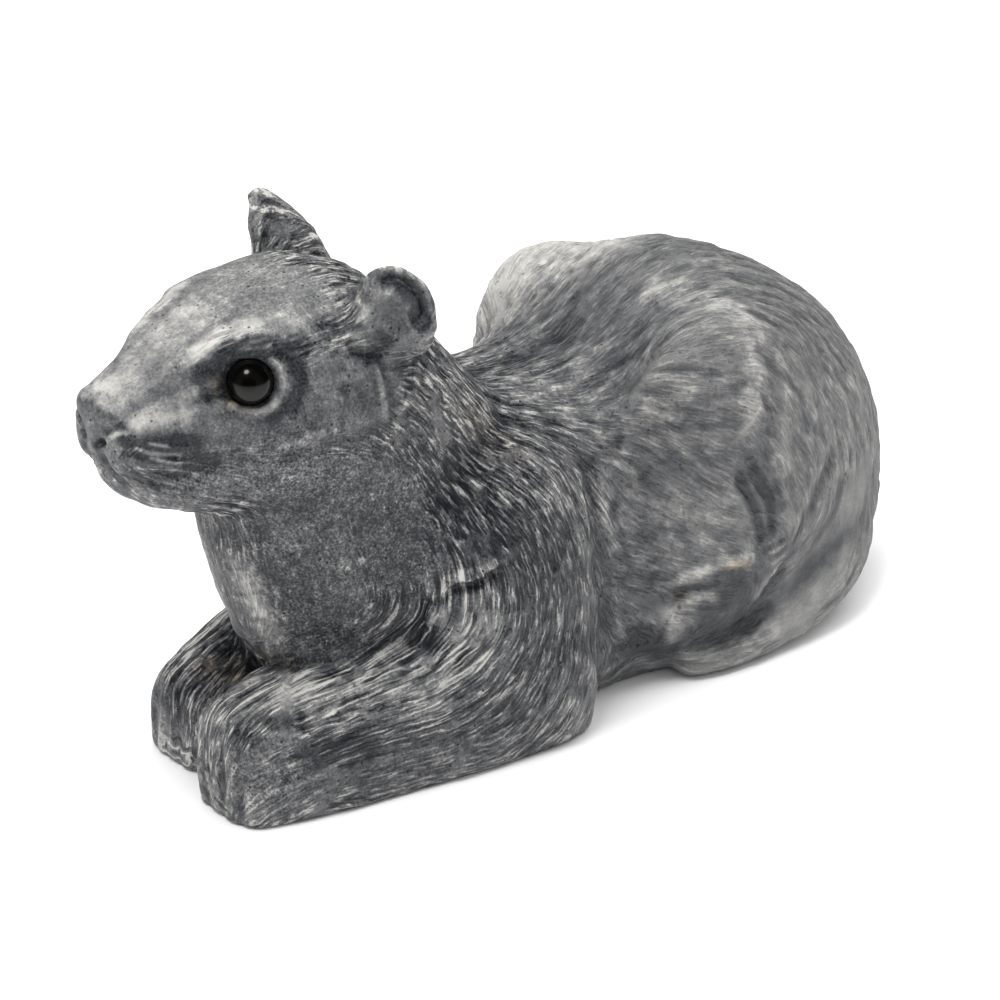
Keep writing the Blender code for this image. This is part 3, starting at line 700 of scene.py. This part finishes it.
def fur_shares(points, normals):
    """How much fur is cut in the skin at each point."""
    share = np.ones(len(points))
    for path, reach, left in both_sides(SMOOTH_PLACES):
        near = nearness(points, normals, path, reach)
        share = np.minimum(share, 1 - (1 - left) * np.clip(near * 2.2, 0, 1))
    return share


def dabs(points, normals, entries, mirror=True):
    total = np.zeros(len(points))
    for path, width, amount in both_sides(entries) if mirror else entries:
        total = np.maximum(total, amount * nearness(points, normals, path, width * 1.5))
    return total


def averaged(values, edges, rounds):
    """The values, each replaced some rounds over by the mean of its neighbours'."""
    a, b = edges.T
    count = len(values)
    degree = np.maximum(np.bincount(a, minlength=count) + np.bincount(b, minlength=count), 1)
    columns = values.reshape(count, -1).T.copy()
    for _ in range(rounds):
        for i, value in enumerate(columns):
            total = np.bincount(a, value[b], count) + np.bincount(b, value[a], count)
            columns[i] = total / degree
    return columns.T.reshape(values.shape)


def measured_along(points, edges, ways, rounds=90):
    """Distances over the skin along the given ways, fitted to the edges by least squares."""
    a, b = edges.T
    count = len(points)
    rise = ((points[b] - points[a]) * (ways[a] + ways[b]) / 2).sum(axis=1)

    def gathered(flow):
        return np.bincount(b, flow, count) - np.bincount(a, flow, count)

    own = np.bincount(a, minlength=count) + np.bincount(b, minlength=count) + 1e-9
    distance = np.zeros(count)
    left = gathered(rise)
    step = left / own
    strength = left @ step
    for _ in range(rounds):
        pull = gathered(step[b] - step[a])
        gain = strength / (step @ pull)
        distance += gain * step
        left -= gain * pull
        eased = left / own
        renewed = left @ eased
        step = eased + step * (renewed / strength)
        strength = renewed
    return distance


def spread_seeds(points, count, away=None):
    """Points spread evenly over the skin, and for each point the nearest and how near it is."""
    away = np.full(len(points), 1.0) if away is None else away.copy()
    first, second = np.full(len(points), np.inf), np.full(len(points), np.inf)
    nearest = np.zeros(len(points), dtype=int)
    for seed in range(count):
        distance = np.linalg.norm(points - points[np.argmax(away)], axis=1)
        away = np.minimum(away, distance)
        closer = distance < first
        second = np.where(closer, first, np.minimum(second, distance))
        first = np.where(closer, distance, first)
        nearest[closer] = seed
    return nearest, first, second


def fur_patches(obj):
    """Two layers of overlapping patches of fur, each with distances across and along it."""
    points, normals = skin_arrays(obj)
    edges = skin_edges(obj)
    ways = averaged(fur_ways(points, normals), edges, 4)
    sideways = np.cross(normals, ways)
    layers, away = [], None
    for layer in range(2):
        nearest, first, second = spread_seeds(points, FUR_PATCHES, away)
        away = first / 2
        within = edges[nearest[edges[:, 0]] == nearest[edges[:, 1]]]
        offset = nearest * PATCH_OFFSET + layer * LAYER_OFFSET
        across = measured_along(points, within, sideways) + offset
        along = measured_along(points, within, ways) + offset
        inside = np.clip((second - first) / PATCH_EDGE - 0.25, 0, 1)
        layers.append((across, along, inside))
    return layers, sideways, ways


def uneven(points, size):
    """Noise of a size at each point."""
    return np.array([noise.noise(spot) for spot in points / size])


def grain(across, along, width, run, turn=0.0):
    """Noise drawn out along the fur, at each point."""
    return np.array([
        noise.noise(Vector((u, v, turn))) for u, v in zip(across / width, along / run)
    ])


def press_fur(obj, settings):
    """Locks and grooves of fur, and the unevenness of a thing modelled by hand."""
    points, normals = skin_arrays(obj)
    layers, sideways, ways = fur_patches(obj)
    share = fur_shares(points, normals)
    above = np.clip(points[:, 2] / FOOT_HEIGHT, 0, 1)
    sway = SWAY * uneven(points, SWAY_SIZE)
    inside = layers[0][2] + layers[1][2]
    second_share = layers[1][2] / (inside + 1e-6)
    share *= np.clip(inside * 4, 0, 1)
    locks, grooves = np.zeros(len(points)), np.zeros(len(points))
    for (across, along, _), part in zip(layers, (1 - second_share, second_share)):
        waved = across + sway
        locks += part * grain(waved, along, settings.lock_width, settings.lock_length)
        grooves += part * grain(waved, along, settings.groove_width, settings.groove_length, 5.0)
    ridge = np.clip(0.5 + grooves * 1.25, 0, 1)
    height = share * (settings.lock_depth * locks + settings.groove_depth * (ridge - 0.5))
    height += LUMP_HEIGHT * uneven(points, LUMP_SIZE) + PIT_HEIGHT * uneven(points, PIT_SIZE)
    put_points(obj, points + normals * (height * above)[:, None])
    return points, layers, second_share, sideways, ways, ridge, share


def cut_sockets(obj):
    for side in SIDES:
        bm = bmesh.new()
        bmesh.ops.create_uvsphere(
            bm, u_segments=64, v_segments=32, radius=eye_radius() + EYE_ROOM,
            matrix=Matrix.Translation(eye_middle(side)),
        )
        cutter = new_object("socket", bm)
        modify(obj, "BOOLEAN", operation="DIFFERENCE", solver="MANIFOLD", object=cutter)
        bpy.data.objects.remove(cutter)


def note(obj, name, values):
    """Keeps a value of each point for the material."""
    obj.data.attributes.new(name, "FLOAT", "POINT").data.foreach_set("value", values)


def note_finish(obj, carved):
    """Keeps on the skin the fur's lie, the dabs of tone, and how far each point stands proud or
    sinks, by which the stone is painted lighter on its edges, as rubbed wear, and darker in its
    hollows, as painted shade.
    """
    before, layers, second_share, sideways, ways, ridge, share = carved
    points, normals = skin_arrays(obj)
    tree = KDTree(len(before))
    for i, point in enumerate(before):
        tree.insert(point, i)
    tree.balance()
    near = np.array([tree.find(point)[1] for point in points])
    moved = points - before[near]
    for layer, (across, along, _) in enumerate(layers):
        note(obj, f"across_{layer}", across[near] + (moved * sideways[near]).sum(axis=1))
        note(obj, f"along_{layer}", along[near] + (moved * ways[near]).sum(axis=1))
    for name, values in (("second_share", second_share), ("ridge", ridge), ("fur_share", share)):
        note(obj, name, values[near])
    note(obj, "bold", dabs(points, normals, BOLD_PLACES))
    note(obj, "coarse", dabs(points, normals, COARSE_PLACES))
    crusts, rings, rust = [], [], []
    for side in SIDES:
        crusts.append((crust(side), 0.70, 0.60))
        # Dark rings round each eye: at the socket's edge, painted shade in the crevice round the
        # glass; further out, a dark arc at its front corner.
        rings.append((lid_line(side, 0.0028, 0.0028), 0.62, 1.1))
        rings.append((lid_line(side, 0.0033, 0.0032, -200, -130), 0.7, 0.7))
        rust.append((lid_line(side, 0.0032, 0.0031, -185, -110), 0.8, 1.0))
    for name, mirrored_dabs, others in (
        ("pale", PALE_DABS, [*FAR_PALE_DABS, *crusts]),
        ("dark", DARK_DABS, [*FAR_DARK_DABS, *rings]),
        ("warm", (), [*WARM_DABS, *rust]),
    ):
        both = dabs(points, normals, mirrored_dabs)
        note(obj, name, np.maximum(both, dabs(points, normals, others, mirror=False)))
    edges = skin_edges(obj)
    eased = points
    for name, rounds, height in WEAR_AND_SHADE:
        eased = averaged(eased, edges, rounds)
        proud = ((points - eased) * normals).sum(axis=1) / height
        note(obj, name, np.clip(averaged(proud, edges, 1), -1, 1))


class Wire:
    """A node's output that sums and products can be written with."""

    def __init__(self, tree, socket):
        self.tree, self.socket = tree, socket

    def maths(self, operation, *values):
        node = self.tree.nodes.new("ShaderNodeMath")
        node.operation = operation
        for socket, value in zip(node.inputs, values):
            join(self.tree, value, socket)
        return Wire(self.tree, node.outputs[0])

    def __add__(self, other):
        return self.maths("ADD", self, other)

    def __sub__(self, other):
        return self.maths("SUBTRACT", self, other)

    def __rsub__(self, other):
        return self.maths("SUBTRACT", other, self)

    def __mul__(self, other):
        return self.maths("MULTIPLY", self, other)

    def clamped(self):
        return self.maths("MINIMUM", self.maths("MAXIMUM", self, 0.0), 1.0)

    __radd__, __rmul__ = __add__, __mul__


def join(tree, value, socket):
    if isinstance(value, Wire):
        tree.links.new(value.socket, socket)
    else:
        socket.default_value = value


class Finish:
    """A material, made node by node."""

    def __init__(self, name):
        self.material = bpy.data.materials.new(name)
        self.material.use_nodes = True
        self.tree = self.material.node_tree
        self.shader = self.tree.nodes["Principled BSDF"]

    def node(self, kind, settings=None, inputs=None, output=0):
        node = self.tree.nodes.new("ShaderNode" + kind)
        for name, value in (settings or {}).items():
            setattr(node, name, value)
        for name, value in (inputs or {}).items():
            join(self.tree, value, node.inputs[name])
        return Wire(self.tree, node.outputs[output])

    def position(self):
        return self.node("TexCoord", output="Object")

    def stored(self, name):
        return self.node("Attribute", {"attribute_name": name}, output="Fac")

    def noise(self, at, size, detail=0.0, roughness=0.5):
        return self.node(
            "TexNoise", {"noise_dimensions": "3D"},
            {"Vector": at, "Scale": 1 / size, "Detail": detail, "Roughness": roughness},
        )

    def between(self, value, low, high):
        """0 below low, 1 above high, and a smooth step between."""
        return self.node(
            "MapRange", {"interpolation_type": "SMOOTHSTEP"},
            {"Value": value, "From Min": low, "From Max": high},
        )

    def mix(self, share, a, b, kind="MIX"):
        return self.node(
            "Mix", {"data_type": "RGBA", "blend_type": kind}, {0: share, 6: a, 7: b}, output=2
        )

    def hairs(self, across, along, width, run, detail):
        """Noise drawn out along the fur."""
        at = self.node("CombineXYZ", inputs={"X": across * (1 / width), "Y": along * (1 / run)})
        return self.node(
            "TexNoise", {"noise_dimensions": "2D"},
            {"Vector": at, "Scale": 1.0, "Detail": detail, "Roughness": 0.55},
        )

    def part(self, at, axis):
        return self.node("SeparateXYZ", inputs={0: at}, output=axis)

    def ramp(self, value, stops):
        """A colour for each value, between stops of place and colour."""
        node = self.tree.nodes.new("ShaderNodeValToRGB")
        elements = node.color_ramp.elements
        for i, (at, colour) in enumerate(stops):
            element = elements[i] if i < 2 else elements.new(at)
            element.position, element.color = at, colour
        join(self.tree, value, node.inputs[0])
        return Wire(self.tree, node.outputs[0])

    def bump(self, height, distance):
        return self.node(
            "Bump", inputs={"Height": height, "Distance": distance, "Strength": 1.0}
        )

    def show(self, **inputs):
        for name, value in inputs.items():
            join(self.tree, value, self.shader.inputs[name.replace("_", " ")])
        return self.material


def blend(share, one, other):
    return tuple(a + (b - a) * share for a, b in zip(one, other))


def stone_finish(settings):
    """Cast stone: dark grooves, a pale wash, stains, speckle and pinholes, with ridges painted
    lighter as rubbed wear, painted shade in its hollows and a painted contact shadow along the
    ground.
    """
    f = Finish("cast stone")
    at = f.position()
    share, ridge = f.stored("fur_share"), f.stored("ridge")
    pale, dark, warm = f.stored("pale"), f.stored("dark"), f.stored("warm")
    fine_wear_and_shade, edge = f.stored("fine_wear_and_shade"), f.stored("edge")
    patches = f.noise(at, PATCHES, 3.0, 0.6) - 0.5
    blotches = f.noise(at, BLOTCHES, 3.0, 0.65) - 0.5
    speckle = f.noise(at, SPECKLE, 3.0, 0.7) - 0.5
    grit = f.noise(at, GRIT, 1.5, 0.6) - 0.5

    hairs, bold = None, f.stored("bold")
    for layer in range(2):
        across = f.stored(f"across_{layer}") + blotches * WAVER
        along = f.stored(f"along_{layer}") + speckle * WAVER
        found = f.hairs(across, along, settings.hair_width, settings.hair_length, 1.0)
        carved = f.hairs(across, along, settings.line_width, settings.line_length, 0.5)
        found = found * (1.0 - bold) + carved * bold
        part = f.stored("second_share")
        hairs = found if hairs is None else hairs * (1 - part) + found * part
    raised = f.between(hairs, 0.555, 0.63)
    sunk = f.between(hairs, 0.47, 0.385)

    rear = f.between(f.part(at, "Y"), -0.010, 0.030)
    smudges = f.noise(at, SMUDGES, 4.0, 0.7)
    broken = ((smudges - 0.5) * 0.85 + speckle * 0.45) * (1.0 - rear * 0.7)
    pale = pale * 0.4 + f.between(pale + broken, 0.10, 0.85) * f.between(pale, 0.0, 0.14) * 0.6
    dark = dark * 0.4 + f.between(dark - broken, 0.16, 0.76) * f.between(dark, 0.0, 0.14) * 0.6
    dark = dark.clamped() * (1.0 - pale.clamped() * 0.8)
    smudged = f.between(smudges, 0.53, 0.60) * 0.11 - f.between(smudges, 0.46, 0.38) * 0.13
    crisp = 0.26 + f.between(f.part(at, "Y"), 0.014, -0.024) * 0.76
    coarse = f.stored("coarse")
    smudged = smudged * (0.42 + share * 0.33 - rear * 0.33)
    ground = 0.345 + patches * 0.16 + blotches * 0.20 * (1.0 - rear * 0.5) + smudged + rear * 0.15
    # Lighter where the skin stands proud, as rubbed wear, and darker in its hollows, as painted
    # shade.
    ground = (ground + fine_wear_and_shade * 0.12 + edge * 0.08 * (1.0 - rear * 0.5)) * (1.0 - dark * 0.86)
    # Darker over the lowest 1.8 mm: a painted contact shadow along the ground.
    painted_foot_shadow = f.between(f.part(at, "Z"), 0.0018, 0.0)
    ground = ground + pale * (0.36 + speckle * 0.3 + blotches * 0.2) - painted_foot_shadow * 0.20
    strokes = raised * 0.44 - sunk * 0.30 + (ridge - 0.5) * 0.16
    strokes = strokes * (0.85 + blotches * 0.7 + bold * 0.2)
    grain_tone = (grit * 0.9 + speckle * 0.5) * (0.7 + coarse) * (1.0 - pale * 0.7)
    tone = ground + (share * strokes + grain_tone) * crisp

    pits = f.node(
        "TexVoronoi", {"feature": "F1"}, {"Vector": at, "Scale": 1 / PINHOLES, "Randomness": 1.0}
    )
    pitted = f.between(f.noise(at, PINHOLE_GROUPS, 2.0), 0.42, 0.54) * (0.45 + coarse * 0.55)
    hole = f.between(pits, 0.17, 0.09) * pitted * (1.0 - rear * 0.9)
    crumbs = f.between(f.noise(at, CRUMBS, 2.0, 0.6), 0.66, 0.74) * (0.5 + coarse * 0.5)
    tone = tone - hole * 0.8 + crumbs * 0.22 * crisp

    stone, dark_stone = tuple(settings.stone), tuple(settings.dark_stone)
    wash = tuple(settings.wash)
    shade = f.ramp(tone, (
        (0.0, dark_stone), (1.0, wash), (0.22, blend(0.36, dark_stone, stone)), (0.44, stone),
        (0.64, blend(0.24, stone, wash)), (0.84, blend(0.66, stone, wash)),
    ))
    stained = (warm * (0.85 + speckle * 2.0)).clamped()
    shade = f.mix(stained, shade, tuple(settings.stain), "MULTIPLY")

    height = share * (raised * 0.6 - sunk * 0.6) + grit * 0.35 + speckle * 0.3 - hole * 1.2
    normal = f.bump(height, settings.hair_depth)
    roughness = 0.42 + (tone * 0.35).clamped() + grit * 0.1
    return f.show(Base_Color=shade, Roughness=roughness, Normal=normal, Specular_IOR_Level=0.36)


def eye_finish(name, side, settings):
    """Glass over a dark iris, with a black pupil and rim. The iris is painted lighter toward its
    bottom: painted light.
    """
    f = Finish(name)
    middle = eye_middle(side)
    axis = eye_axis(side)
    from_middle = f.node(
        "VectorMath", {"operation": "SUBTRACT"}, {0: f.position(), 1: tuple(middle)}
    )
    ahead = f.node("VectorMath", {"operation": "DOT_PRODUCT"}, {0: from_middle, 1: tuple(axis)}, 1)
    radius = eye_radius()
    pupil_at = math.sqrt(radius**2 - settings.pupil**2)
    iris_at = math.sqrt(radius**2 - settings.iris**2)
    in_pupil = f.between(ahead, pupil_at - 0.00006, pupil_at)
    in_iris = f.between(ahead, iris_at - 0.00004, iris_at + 0.00030)
    # The iris painted lighter toward its bottom: painted light.
    painted_lower_light = f.between(f.part(from_middle, "Z"), 0.0016, -0.0016)
    black = (0.0015, 0.0014, 0.0013, 1.0)
    shade = f.mix(in_iris * (0.2 + painted_lower_light * 0.8), black, tuple(settings.iris_colour))
    shade = f.mix(in_pupil, shade, black)
    return f.show(Base_Color=shade, Roughness=0.15, Specular_IOR_Level=0.26)


class LION_OT_skin(bpy.types.Operator):
    """Carve the lion's skin and give it its stone"""

    bl_idname = "lion.skin"
    bl_label = "Lion's skin"

    def execute(self, context):
        settings = context.scene.lion_skin
        lion = rough_skin()
        modify(lion, "REMESH", mode="VOXEL", voxel_size=settings.skin_voxel)
        soften(lion, 5)
        refine(lion)
        soften(lion, 2)
        cut_strokes(lion, all_cuts())
        carved = press_fur(lion, settings)
        flatten_base(lion)
        thin_out(lion, settings.skin_triangles)
        cut_sockets(lion)
        note_finish(lion, carved)
        lion.data.materials.clear()
        lion.data.materials.append(stone_finish(settings))
        lion.data.shade_smooth()
        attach(lion, "root")
        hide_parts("lion")
        return {"FINISHED"}


class LION_OT_eyes(bpy.types.Operator):
    """Set a glass eye in each socket"""

    bl_idname = "lion.eyes"
    bl_label = "Glass eyes"

    def execute(self, context):
        settings = context.scene.lion_eyes
        for side, name in ((1, "left_eye"), (-1, "right_eye")):
            bm = bmesh.new()
            radius = eye_radius()
            egg(bm, eye_middle(side), (radius,) * 3, looking(side), settings.segments)
            eye = new_object(name + "_glass", bm)
            eye.data.materials.append(eye_finish(name + " glass", side, settings))
            eye.data.shade_smooth()
            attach(eye, "root")
            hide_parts(name)
        return {"FINISHED"}


class LION_OT_studio(bpy.types.Operator):
    """Lay the floor, and set the lights and the camera"""

    bl_idname = "lion.studio"
    bl_label = "Studio"

    def execute(self, context):
        settings = context.scene.lion_studio
        lay_floor(settings)
        light_it()
        set_camera(settings)
        return {"FINISHED"}


def lay_floor(settings):
    bm = bmesh.new()
    bmesh.ops.create_grid(bm, x_segments=1, y_segments=1, size=settings.floor_side / 2)
    floor = new_object("floor", bm)
    f = Finish("floor paper")
    floor.data.materials.append(f.show(Base_Color=tuple(settings.floor), Roughness=0.9))


def soft_light(name, place_at, size, power, mirrored_in_glass=False):
    light = bpy.data.lights.new(name, "AREA")
    light.shape = "DISK"
    light.size = size
    light.energy = power
    obj = bpy.data.objects.new(name, light)
    obj.visible_glossy = mirrored_in_glass
    obj.location = place_at
    obj.rotation_euler = (Vector((0, 0, 0.03)) - obj.location).to_track_quat("-Z", "Y").to_euler()
    bpy.context.scene.collection.objects.link(obj)


def light_it():
    scene = bpy.context.scene
    scene.view_settings.view_transform = "Standard"
    world = bpy.data.worlds.new("studio")
    world.use_nodes = True
    background = world.node_tree.nodes["Background"]
    background.inputs["Color"].default_value = (1.0, 1.0, 1.0, 1.0)
    background.inputs["Strength"].default_value = 0.78
    scene.world = world
    world.cycles_visibility.glossy = False
    soft_light("overhead box", (-0.05, 0.22, 0.75), 0.90, 4.6)
    soft_light("left box", (-0.25, -0.75, 0.40), 0.4, 0.4)
    soft_light("key", (0.10, -0.335, 0.80), 0.28, 3.2, mirrored_in_glass=True)


def set_camera(settings):
    azimuth, elevation = math.radians(settings.azimuth), math.radians(settings.elevation)
    back = Vector((
        math.sin(azimuth) * math.cos(elevation),
        -math.cos(azimuth) * math.cos(elevation),
        math.sin(elevation),
    ))
    camera = bpy.data.cameras.new("camera")
    camera.lens = settings.lens
    camera.sensor_width = 36
    camera.clip_start, camera.clip_end = 0.01, 20
    obj = bpy.data.objects.new("camera", camera)
    obj.location = Vector(settings.aim) + back * settings.distance
    obj.rotation_euler = (-back).to_track_quat("-Z", "Y").to_euler()
    bpy.context.scene.collection.objects.link(obj)
    bpy.context.scene.camera = obj


class LION_PT_panel(bpy.types.Panel):
    bl_label = "Mountain lion"
    bl_idname = "LION_PT_panel"
    bl_space_type = "VIEW_3D"
    bl_region_type = "UI"
    bl_category = "Lion"

    def draw(self, context):
        for operator in (LION_OT_skin, LION_OT_eyes, LION_OT_studio):
            self.layout.operator(operator.bl_idname)


CLASSES = (
    LionSettings, EyeSettings, StudioSettings,
    LION_OT_skin, LION_OT_eyes, LION_OT_studio, LION_PT_panel,
)


def register():
    for cls in CLASSES:
        bpy.utils.register_class(cls)
    bpy.types.Scene.lion_skin = PointerProperty(type=LionSettings)
    bpy.types.Scene.lion_eyes = PointerProperty(type=EyeSettings)
    bpy.types.Scene.lion_studio = PointerProperty(type=StudioSettings)


def unregister():
    del bpy.types.Scene.lion_skin, bpy.types.Scene.lion_eyes, bpy.types.Scene.lion_studio
    for cls in reversed(CLASSES):
        bpy.utils.unregister_class(cls)


def main():
    register()
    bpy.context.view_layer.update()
    bpy.ops.lion.skin()
    bpy.ops.lion.eyes()
    bpy.ops.lion.studio()


if __name__ == "__main__":
    main()
